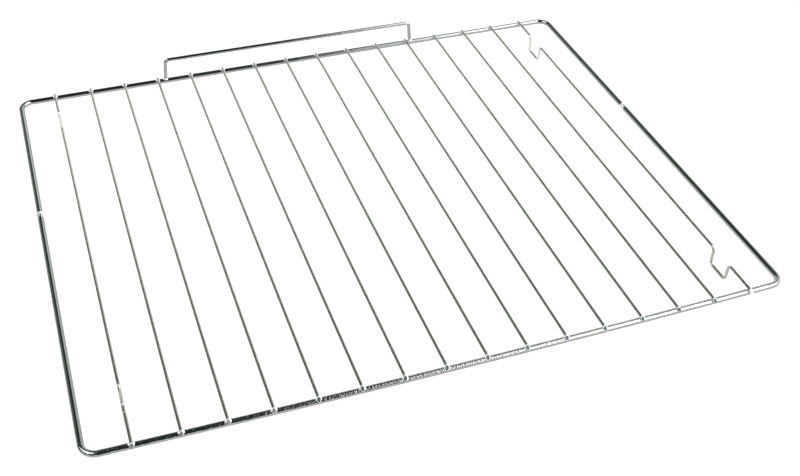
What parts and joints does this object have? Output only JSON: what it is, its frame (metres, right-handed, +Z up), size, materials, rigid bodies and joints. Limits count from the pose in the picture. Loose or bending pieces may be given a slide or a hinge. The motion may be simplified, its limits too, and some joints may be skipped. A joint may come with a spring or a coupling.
{
  "type": "oven rack",
  "caption": "Chromed wire oven rack with a welded grid, dipped end wires that stop it on its runners, and a low back stop.",
  "frame": {"origin": "middle of the rack, on the surface that the four dips of the outermost wires stand on", "axes": "+X along the front from left to right, +Y from the front to the back stop, +Z up"},
  "size_m": [0.466, 0.3753, 0.0322],
  "materials": {
    "frame_chrome": "polished",
    "wire_chrome": "polished",
    "stop_chrome": "polished"
  },
  "bodies": {
    "root": {"frame_front": "frame_chrome", "frame_rear": "frame_chrome", "cross_wire_01": "wire_chrome", "cross_wire_02": "wire_chrome", "cross_wire_03": "wire_chrome", "cross_wire_04": "wire_chrome", "cross_wire_05": "wire_chrome", "cross_wire_06": "wire_chrome", "cross_wire_07": "wire_chrome", "cross_wire_08": "wire_chrome", "cross_wire_09": "wire_chrome", "cross_wire_10": "wire_chrome", "cross_wire_11": "wire_chrome", "cross_wire_12": "wire_chrome", "cross_wire_13": "wire_chrome", "cross_wire_14": "wire_chrome", "dipped_wire_left": "wire_chrome", "dipped_wire_right": "wire_chrome", "back_stop": "stop_chrome"}
  },
  "joints": []
}
